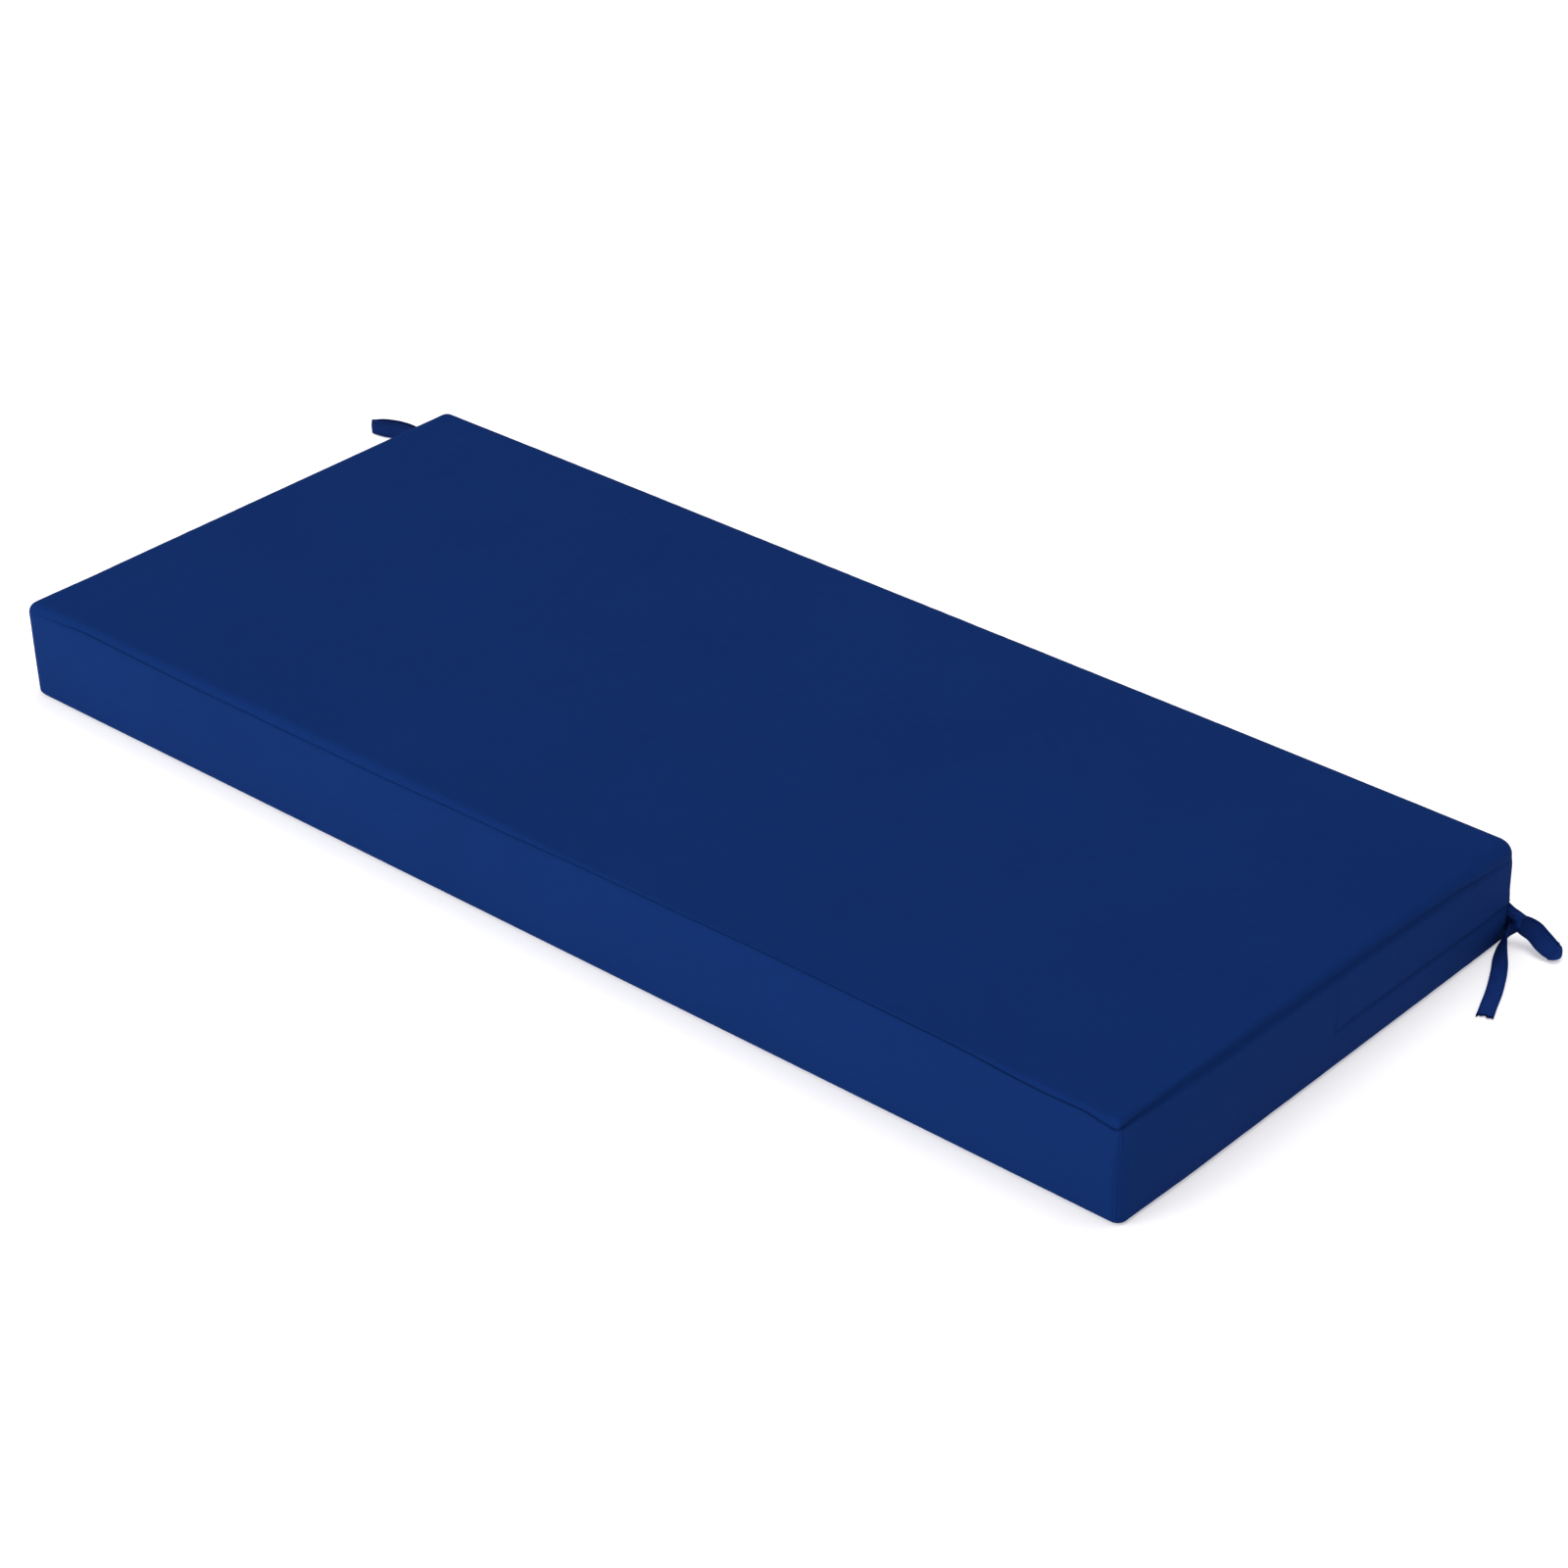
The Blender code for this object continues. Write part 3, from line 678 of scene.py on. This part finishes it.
def cut_across(mesh, axis, positions):
    """Cut the whole mesh by planes square to one axis."""
    normal = Vector((axis == 0, axis == 1, axis == 2))
    for position in positions:
        everything = mesh.verts[:] + mesh.edges[:] + mesh.faces[:]
        bmesh.ops.bisect_plane(mesh, geom=everything, plane_co=normal * position, plane_no=normal)


def lay_cloth_map(mesh, form, layer):
    """Give every face its cloth coordinates in metres: panels as cut, boxing as one long strip."""
    for face in mesh.faces:
        for loop in face.loops:
            x, y, z = loop.vert.co
            if abs(face.normal.z) > 0.5:
                spot = (x, y)
            elif face.normal.y < -0.5:
                spot = (x + form.half_x, z)
            elif face.normal.x > 0.5:
                spot = (form.length + y + form.half_y, z)
            elif face.normal.y > 0.5:
                spot = (form.length + form.depth + form.half_x - x, z)
            else:
                spot = (2 * form.length + form.depth + form.half_y - y, z)
            loop[layer].uv = spot


def make_cover(settings):
    """The filled cover: a plain box cut into cells, then every point moved to its sewn place."""
    form = CoverForm(settings)
    mesh = bmesh.new()
    bmesh.ops.create_cube(mesh, size=1)
    bmesh.ops.scale(mesh, vec=(form.length, form.depth, form.height), verts=mesh.verts)
    bmesh.ops.translate(mesh, vec=(0, 0, form.height / 2), verts=mesh.verts)
    join_lines = [FLAP_JOIN_Y + side * JOIN_HALF_WIDTH for side in (-1, 0, 1)]
    levels = [form.height - level for level in TOP_LEVELS] + list(BOTTOM_LEVELS)
    levels += [FLAP_HEIGHT + level for level in FLAP_LEVELS] + [form.height * MIDDLE_LEVEL]
    cut_across(mesh, 0, cut_lines(form.half_x))
    cut_across(mesh, 1, cut_lines(form.half_y, join_lines))
    cut_across(mesh, 2, levels)
    bmesh.ops.subdivide_edges(mesh, edges=mesh.edges[:], cuts=CELL_CUTS, use_grid_fill=True)
    mesh.normal_update()
    cloth_layer, painted_shade_layer, wear_and_highlight_layer = add_cloth_layers(mesh)
    lay_cloth_map(mesh, form, cloth_layer)
    for vertex in mesh.verts:
        vertex.co, vertex[painted_shade_layer], vertex[wear_and_highlight_layer] = form.place(vertex.co)
    material = cloth_material("navy_cover_cloth", settings.colour, settings.thread, tone_size=0.11,
                              streaks=(60, 1400, 1), streak_tone=0.22, sheen=0.010)
    cover = finish_piece("cushion_cover", mesh, material, ["cushion_body"])


# --- the ties -----------------------------------------------------------------------------------------------


def curve_value(before, start, end, after, share):
    """A value on the smooth curve between start and end."""
    leaving = (end - before) / 2
    arriving = (after - start) / 2
    rise = end - start
    bend = 3 * rise - 2 * leaving - arriving
    ease = leaving + arriving - 2 * rise
    return start + share * (leaving + share * (bend + share * ease))


def smooth_route(route, steps):
    """Rows along a smooth curve through a route's rows, every column eased alike."""
    rows = []
    for index in range(len(route) - 1):
        before = route[max(index - 1, 0)]
        start, end = route[index], route[index + 1]
        after = route[min(index + 2, len(route) - 1)]
        for step in range(steps):
            share = step / steps
            rows.append([curve_value(a, b, c, d, share) for a, b, c, d in zip(before, start, end, after)])
    rows.append(list(route[-1]))
    return rows


class TapeForm:
    """A tape bent along its route at the right (1) or left (-1) back corner."""

    def __init__(self, settings, cover, route, side):
        self.width = settings.tape_width
        self.thickness = settings.tape_thickness
        self.rows = smooth_route(route, settings.tape_steps)
        self.middles = [Vector((side * (cover.length / 2 + row[0]), cover.depth / 2 + row[1], row[2]))
                        for row in self.rows]
        self.widths = [self.width_way(row, side) * self.width * row[5] for row in self.rows]
        self.walked = [0.0]
        for start, end in zip(self.middles, self.middles[1:]):
            self.walked.append(self.walked[-1] + (end - start).length)

    @staticmethod
    def width_way(row, side):
        """The direction of the tape's width."""
        turn, tilt = math.radians(row[3]), math.radians(row[4])
        level = math.cos(tilt)
        return Vector((side * level * math.cos(turn), level * math.sin(turn), math.sin(tilt)))

    @property
    def length(self):
        return self.walked[-1]

    def ahead(self, index):
        """The way the tape runs at a step of its route."""
        before = self.middles[max(index - 1, 0)]
        after = self.middles[min(index + 1, len(self.middles) - 1)]
        return (after - before).normalized()

    def place(self, index, across):
        """A point of the tape, with across from -0.5 to 0.5, and its cup, gathers and rounded tip on it."""
        ahead = self.ahead(index)
        middle, width = self.middles[index], self.widths[index]
        normal = ahead.cross(width).normalized()
        gathered = max(0.0, 1 - self.rows[index][5])
        gather = GATHER_DEPTH * gathered * math.cos(4 * math.pi * across + GATHER_START)
        waves = Vector((self.walked[index] / RIPPLE_PITCH, across * RIPPLES_ACROSS, RIPPLE_SEED))
        ripple = RIPPLE_DEPTH * noise.noise(waves)
        cup = CUP_DEPTH * (1 - (2 * across) ** 2)
        tip = self.rows[index][6] * (1 - (2 * across) ** 2)
        behind = self.middles[max(index - TURN_STEPS, 0)]
        beyond = self.middles[min(index + TURN_STEPS, len(self.middles) - 1)]
        turning = middle - (behind + beyond) / 2
        onward = turning.normalized() if tip > 0 and turning.length > 1e-5 else ahead
        spot = middle + width * across + normal * (gather + ripple + cup) + onward * tip
        spot.z = max(spot.z, self.thickness / 2)
        return spot


def make_tape(name, form, settings, material, nodes, shade, raw_end=False):
    """A flat tape bent along its route, given its thickness and rounded along its folded edges."""
    mesh = bmesh.new()
    last = len(form.rows) - 1
    bmesh.ops.create_grid(mesh, x_segments=settings.tape_cells, y_segments=last, size=0.5)
    cloth_layer, painted_shade_layer, wear_and_highlight_layer = add_cloth_layers(mesh)
    for face in mesh.faces:
        for loop in face.loops:
            step = round((loop.vert.co.y + 0.5) * last)
            loop[cloth_layer].uv = (loop.vert.co.x * form.width, form.walked[step])
    start_shade, far_shade, reach = shade
    for vertex in mesh.verts:
        across, step = vertex.co.x, round((vertex.co.y + 0.5) * last)
        # Painted shade from the part's table, strongest where it starts
        painted_shade = far_shade + (start_shade - far_shade) * fade(form.walked[step], reach)
        # Painted shade along each stitch line
        painted_shade += STITCH_SHADE * valley(abs(across) - STITCH_LINE, STITCH_WIDTH)
        vertex.co = form.place(step, across)
        if raw_end and step == last:
            tooth = noise.noise(Vector((across * CUT_END_TEETH, 0.5, 2.0)))
            vertex.co += form.ahead(step) * CUT_END_DEPTH * tooth
            # The raw cut end is painted fully dark: painted shade
            painted_shade = 1.0
        vertex[painted_shade_layer] = min(1.0, painted_shade)
        # Folded edges are painted paler, as wear and a painted highlight
        vertex[wear_and_highlight_layer] = FOLD_WEAR_AND_HIGHLIGHT if abs(across) > FOLD_LINE else 0.0
    tape = finish_piece(name, mesh, material, nodes)
    thickness = tape.modifiers.new("thickness", "SOLIDIFY")
    thickness.thickness = form.thickness
    thickness.offset = 0
    edges = tape.modifiers.new("folded_edges", "BEVEL")
    edges.width = form.thickness * FOLD_ROUNDING
    edges.segments = 3
    edges.limit_method = "ANGLE"
    edges.angle_limit = math.radians(FOLD_ANGLE)


def make_knot(name, side_name, side, cover, material):
    """The wrap of tape that holds the loop and the tail: a squeezed band with a fold across it."""
    mesh = bmesh.new()
    turned = Matrix.Rotation(math.pi / 2, 4, "Y")
    bmesh.ops.create_cone(mesh, cap_ends=True, cap_tris=False, segments=KNOT_SIDES, radius1=0.5, radius2=0.5,
                          depth=1, matrix=turned)
    rings = KNOT_RINGS // 2
    cut_across(mesh, 0, [ring / KNOT_RINGS for ring in range(1 - rings, rings)])
    cloth_layer, painted_shade_layer, wear_and_highlight_layer = add_cloth_layers(mesh)
    long, deep, high = KNOT_SIZE
    for face in mesh.faces:
        for loop in face.loops:
            place = loop.vert.co
            loop[cloth_layer].uv = (place.x * long, math.atan2(place.y, place.z) * high / 2)
    out, back, up = KNOT_CENTRE
    middle = Vector((side * (cover.length / 2 + out), cover.depth / 2 + back, up))
    power = KNOT_SQUARENESS
    for vertex in mesh.verts:
        along = vertex.co.x
        turn = math.atan2(vertex.co.y, vertex.co.z)
        square = (abs(math.cos(turn)) ** power + abs(math.sin(turn)) ** power) ** (-1 / power)
        rim = 1 - KNOT_RIM_DEPTH * max(0.0, abs(2 * along) - KNOT_RIM_START) ** 2 / KNOT_RIM_EASE
        from_fold = along - KNOT_FOLD_SLANT * math.sin(turn) - KNOT_FOLD_MIDDLE
        fold = KNOT_FOLD_HEIGHT * math.tanh(from_fold * KNOT_FOLD_STEEPNESS)
        waves = Vector((along * KNOT_CRUMPLES[0], turn * KNOT_CRUMPLES[1], KNOT_CRUMPLE_SEED))
        crumple = 1 + fold + KNOT_CRUMPLE * noise.noise(waves)
        reach = 0.5 * square * rim * crumple
        # Painted shade along the fold, and rims painted paler as wear and a painted highlight
        vertex[painted_shade_layer] = KNOT_FOLD_SHADE * valley(from_fold, KNOT_FOLD_WIDTH)
        vertex[wear_and_highlight_layer] = KNOT_RIM_WEAR_AND_HIGHLIGHT * fade(abs(abs(along) - KNOT_RIM_LINE), KNOT_RIM_WIDTH)
        vertex.co = middle + Vector((side * along * long, reach * math.sin(turn) * deep,
                                     reach * math.cos(turn) * high))
    bmesh.ops.recalc_face_normals(mesh, faces=mesh.faces)
    return finish_piece(name, mesh, material, [f"tie_{side_name}_knot"])


def make_tie(settings, cover, side, side_name, loop_route, tail_route, material):
    """One tie: its two sewn roots, the wrap of its knot, its loop and its free tail."""
    knot = make_knot(f"{side_name}_tie_knot", side_name, side, cover, material)
    parts = (
        # name, route, how it is held, what it rests on, painted shade at its start, painted shade beyond and
        # reach, raw end
        ("root", ROOT_ROUTE, "stretched", "cushion_cover", (0.0, 0.1, 0.010), False),
        # The second root is painted almost fully dark: painted shade in the gap between the knot and the
        # cushion
        ("second_root", SECOND_ROOT_ROUTE, "stretched", "cushion_cover", (0.9, 0.9, 0.010), False),
        ("loop", loop_route, "folded", knot.name, LOOP_SHADES[side_name], False),
        # The tail is darkened with painted shade near the knot
        ("tail", tail_route, "laid", knot.name, (0.75, 0.0, 0.060), True),
    )
    for part, route, held, rests_on, shade, raw_end in parts:
        form = TapeForm(settings, cover, route, side)
        nodes = [] if part == "second_root" else [f"tie_{side_name}_{part}"]
        make_tape(f"{side_name}_tie_{part}", form, settings, material, nodes, shade,
                  raw_end=raw_end)


# --- the studio ---------------------------------------------------------------------------------------------


def look_axes(azimuth, elevation, roll):
    """The camera's right, up and back directions."""
    back = Vector((math.sin(azimuth) * math.cos(elevation), -math.cos(azimuth) * math.cos(elevation),
                   math.sin(elevation)))
    right = Vector((math.cos(azimuth), math.sin(azimuth), 0))
    up = back.cross(right)
    return (right * math.cos(roll) + up * math.sin(roll), up * math.cos(roll) - right * math.sin(roll), back)


def place_object(thing, place, right, up, back):
    """Stand a camera or light at a place, looking against back."""
    turned = Matrix((right, up, back)).transposed().to_4x4()
    thing.matrix_world = Matrix.Translation(place) @ turned


def add_soft_light(name, settings, azimuth, elevation, power):
    """A large square lamp aimed at the middle of the cushion."""
    data = bpy.data.lights.new(name, "AREA")
    data.shape = "SQUARE"
    data.size = LAMP_SIZE
    data.energy = power
    data.color = LAMP_COLOUR
    lamp = bpy.data.objects.new(name, data)
    bpy.context.scene.collection.objects.link(lamp)
    right, up, back = look_axes(azimuth, elevation, 0.0)
    place_object(lamp, back * settings.light_distance, right, up, back)


def add_floor(settings):
    """A pale studio floor."""
    mesh = bmesh.new()
    bmesh.ops.create_grid(mesh, x_segments=1, y_segments=1, size=settings.floor_size / 2)
    data = bpy.data.meshes.new("studio_floor")
    mesh.to_mesh(data)
    mesh.free()
    material = bpy.data.materials.new("pale_floor")
    material.use_nodes = True
    set_inputs(material.node_tree.nodes["Principled BSDF"],
               {"Base Color": settings.floor_colour, "Roughness": 0.9, "Specular IOR Level": 0.1,
                "Emission Color": settings.floor_colour, "Emission Strength": settings.floor_glow})
    data.materials.append(material)
    floor = bpy.data.objects.new("studio_floor", data)
    bpy.context.scene.collection.objects.link(floor)


# --- settings -----------------------------------------------------------------------------------------------


def metres(name, description, default, low, high, **more):
    """A setting for a length."""
    return FloatProperty(name=name, description=description, default=default, min=low, max=high,
                         unit="LENGTH", subtype="DISTANCE", **more)


def angle(name, description, degrees):
    """A setting for an angle."""
    return FloatProperty(name=name, description=description, default=math.radians(degrees),
                         unit="ROTATION", subtype="ANGLE")


class CushionCoverSettings(bpy.types.PropertyGroup):
    """Sizes and colour of the filled cover."""

    length: metres("Length", "Sewn length along the seat",
                   BODY_HIGH.x - BODY_LOW.x - 2 * STAND_OUT, 0.3, 3.0)
    depth: metres("Depth", "Sewn depth from the front edge to the back edge",
                  BODY_HIGH.y - BODY_LOW.y - 2 * STAND_OUT, 0.2, 1.0)
    height: metres("Height", "Height of the panel's edge above the floor", BODY_HIGH.z - CROWN, 0.03, 0.2)
    crown: metres("Crown", "How much higher the middle of the panel is than its edge", CROWN, 0.0, 0.03)
    corner_radius: metres("Corner radius", "Rounding of the upright corners", 0.009, 0.001, 0.05)
    side_bulge: metres("Side bulge", "How far the boxing swells between its corners", 0.0015, 0.0, 0.01)
    thread: metres("Thread", "Pitch of the weave", 0.0005, 0.0002, 0.005, precision=5)
    colour: FloatVectorProperty(
        name="Cloth colour", description="Colour of the dyed cover cloth", subtype="COLOR", size=4,
        default=(0.0042, 0.0252, 0.1310, 1.0), min=0.0, max=1.0)


class CushionTieSettings(bpy.types.PropertyGroup):
    """Sizes and colour of the tape ties."""

    tape_width: metres("Tape width", "Width of the flat tape", 0.012, 0.01, 0.05)
    tape_thickness: metres("Tape thickness", "Thickness of the folded tape", 0.0016, 0.0005, 0.004,
                           precision=4)
    tape_steps: IntProperty(
        name="Steps", description="Cells along the tape between two points of its route", default=8, min=2,
        max=24)
    tape_cells: IntProperty(
        name="Cells across", description="Cells across the tape", default=8, min=2, max=24)
    thread: metres("Thread", "Pitch of the tape's weave", 0.0005, 0.0002, 0.005, precision=5)
    # The tape's colour is set paler than the cover's cloth: painted light that brightens the ties
    colour: FloatVectorProperty(
        name="Tape colour", description="Colour of the dyed tape", subtype="COLOR", size=4,
        default=(0.0072, 0.0290, 0.1560, 1.0), min=0.0, max=1.0)


class CushionStudioSettings(bpy.types.PropertyGroup):
    """The camera, the lamps and the floor."""

    azimuth: angle("Azimuth", "Camera's turn round the cushion from its front", 40.47)
    elevation: angle("Elevation", "Camera's height angle above the floor", 30.62)
    roll: angle("Roll", "Camera's turn about its own line of sight", 0.16)
    distance: metres("Distance", "Camera's distance from the point it looks at", 3.135, 0.5, 20.0)
    target: FloatVectorProperty(
        name="Target", description="Point that the camera looks at", subtype="TRANSLATION", unit="LENGTH",
        default=(0.0259, 0.0952, 0.0))
    lens: FloatProperty(name="Lens", description="Focal length in millimetres", default=94.8, min=10, max=300)
    shift: FloatVectorProperty(
        name="Shift", description="Camera shift that frames the cushion", size=2, default=(-0.040, -0.008))
    light_distance: metres("Lamp distance", "Distance of the lamps from the cushion", 3.6, 1.0, 20.0)
    sky: FloatProperty(
        name="Surround", description="Strength of the even pale surround", default=0.40, min=0.0)
    key_power: FloatProperty(
        name="Key", description="Watts of the soft lamp at the front left", default=82.0, min=0.0)
    key_azimuth: angle("Key azimuth", "The key lamp's turn round the cushion from its front", -28)
    key_elevation: angle("Key elevation", "The key lamp's height angle above the floor", 25)
    top_power: FloatProperty(
        name="Top", description="Watts of the soft lamp overhead", default=62.0, min=0.0)
    floor_glow: FloatProperty(
        name="Floor glow", description="Strength of the pale floor's own light", default=0.42, min=0.0)
    floor_size: FloatProperty(
        name="Floor size", description="Side of the square floor", unit="LENGTH", subtype="DISTANCE",
        default=160.0, min=4.0)
    floor_colour: FloatVectorProperty(
        name="Floor colour", description="Colour of the floor", subtype="COLOR", size=4,
        default=(0.93, 0.93, 0.93, 1.0), min=0.0, max=1.0)


# --- operators ----------------------------------------------------------------------------------------------


class CUSHION_OT_stage(bpy.types.Operator):
    """Add the camera, the lamps, the even surround and the pale floor"""

    bl_idname = "cushion.stage"
    bl_label = "Studio"

    def execute(self, context):
        settings = context.scene.cushion_studio
        data = bpy.data.cameras.new("studio_camera")
        data.sensor_width = 36
        data.lens = settings.lens
        data.shift_x, data.shift_y = settings.shift
        camera = bpy.data.objects.new("studio_camera", data)
        context.scene.collection.objects.link(camera)
        right, up, back = look_axes(settings.azimuth, settings.elevation, settings.roll)
        place_object(camera, Vector(settings.target) + back * settings.distance, right, up, back)
        context.scene.camera = camera

        add_soft_light("key_lamp", settings, settings.key_azimuth, settings.key_elevation, settings.key_power)
        add_soft_light("top_lamp", settings, TOP_LAMP_AZIMUTH, TOP_LAMP_ELEVATION, settings.top_power)
        world = bpy.data.worlds.new("pale_surround")
        world.use_nodes = True
        set_inputs(world.node_tree.nodes["Background"], {"Color": SURROUND_COLOUR, "Strength": settings.sky})
        context.scene.world = world
        context.scene.view_settings.view_transform = "Standard"
        add_floor(settings)
        return {"FINISHED"}


class CUSHION_OT_cover(bpy.types.Operator):
    """Build the filled cover with its rolled edges, seams and closing flap"""

    bl_idname = "cushion.cover"
    bl_label = "Cover"

    def execute(self, context):
        make_cover(context.scene.cushion_cover)
        return {"FINISHED"}


class CUSHION_OT_ties(bpy.types.Operator):
    """Build the tape tie at each back corner"""

    bl_idname = "cushion.ties"
    bl_label = "Ties"

    def execute(self, context):
        settings = context.scene.cushion_ties
        cover = context.scene.cushion_cover
        material = cloth_material("navy_tie_tape", settings.colour, settings.thread, tone_size=0.02,
                                  streaks=(1500, 70, 1), streak_tone=0.75, sheen=0.02)
        make_tie(settings, cover, 1, "right", RIGHT_LOOP_ROUTE, RIGHT_TAIL_ROUTE, material)
        make_tie(settings, cover, -1, "left", LEFT_LOOP_ROUTE, LEFT_TAIL_ROUTE, material)
        return {"FINISHED"}


class CUSHION_PT_sidebar(bpy.types.Panel):
    """Buttons and sizes of the bench cushion"""

    bl_idname = "CUSHION_PT_sidebar"
    bl_label = "Bench Cushion"
    bl_space_type = "VIEW_3D"
    bl_region_type = "UI"
    bl_category = "Cushion"

    def draw(self, context):
        scene = context.scene
        for operator, settings in (("cushion.stage", scene.cushion_studio),
                                   ("cushion.cover", scene.cushion_cover),
                                   ("cushion.ties", scene.cushion_ties)):
            box = self.layout.box()
            box.operator(operator)
            for name in settings.__annotations__:
                box.prop(settings, name)


CLASSES = (
    CushionCoverSettings,
    CushionTieSettings,
    CushionStudioSettings,
    CUSHION_OT_stage,
    CUSHION_OT_cover,
    CUSHION_OT_ties,
    CUSHION_PT_sidebar,
)


def register():
    for cls in CLASSES:
        bpy.utils.register_class(cls)
    bpy.types.Scene.cushion_cover = PointerProperty(type=CushionCoverSettings)
    bpy.types.Scene.cushion_ties = PointerProperty(type=CushionTieSettings)
    bpy.types.Scene.cushion_studio = PointerProperty(type=CushionStudioSettings)


def unregister():
    del bpy.types.Scene.cushion_studio
    del bpy.types.Scene.cushion_ties
    del bpy.types.Scene.cushion_cover
    for cls in reversed(CLASSES):
        bpy.utils.unregister_class(cls)


def main():
    register()
    bpy.ops.cushion.stage()
    bpy.ops.cushion.cover()
    bpy.ops.cushion.ties()


if __name__ == "__main__":
    main()
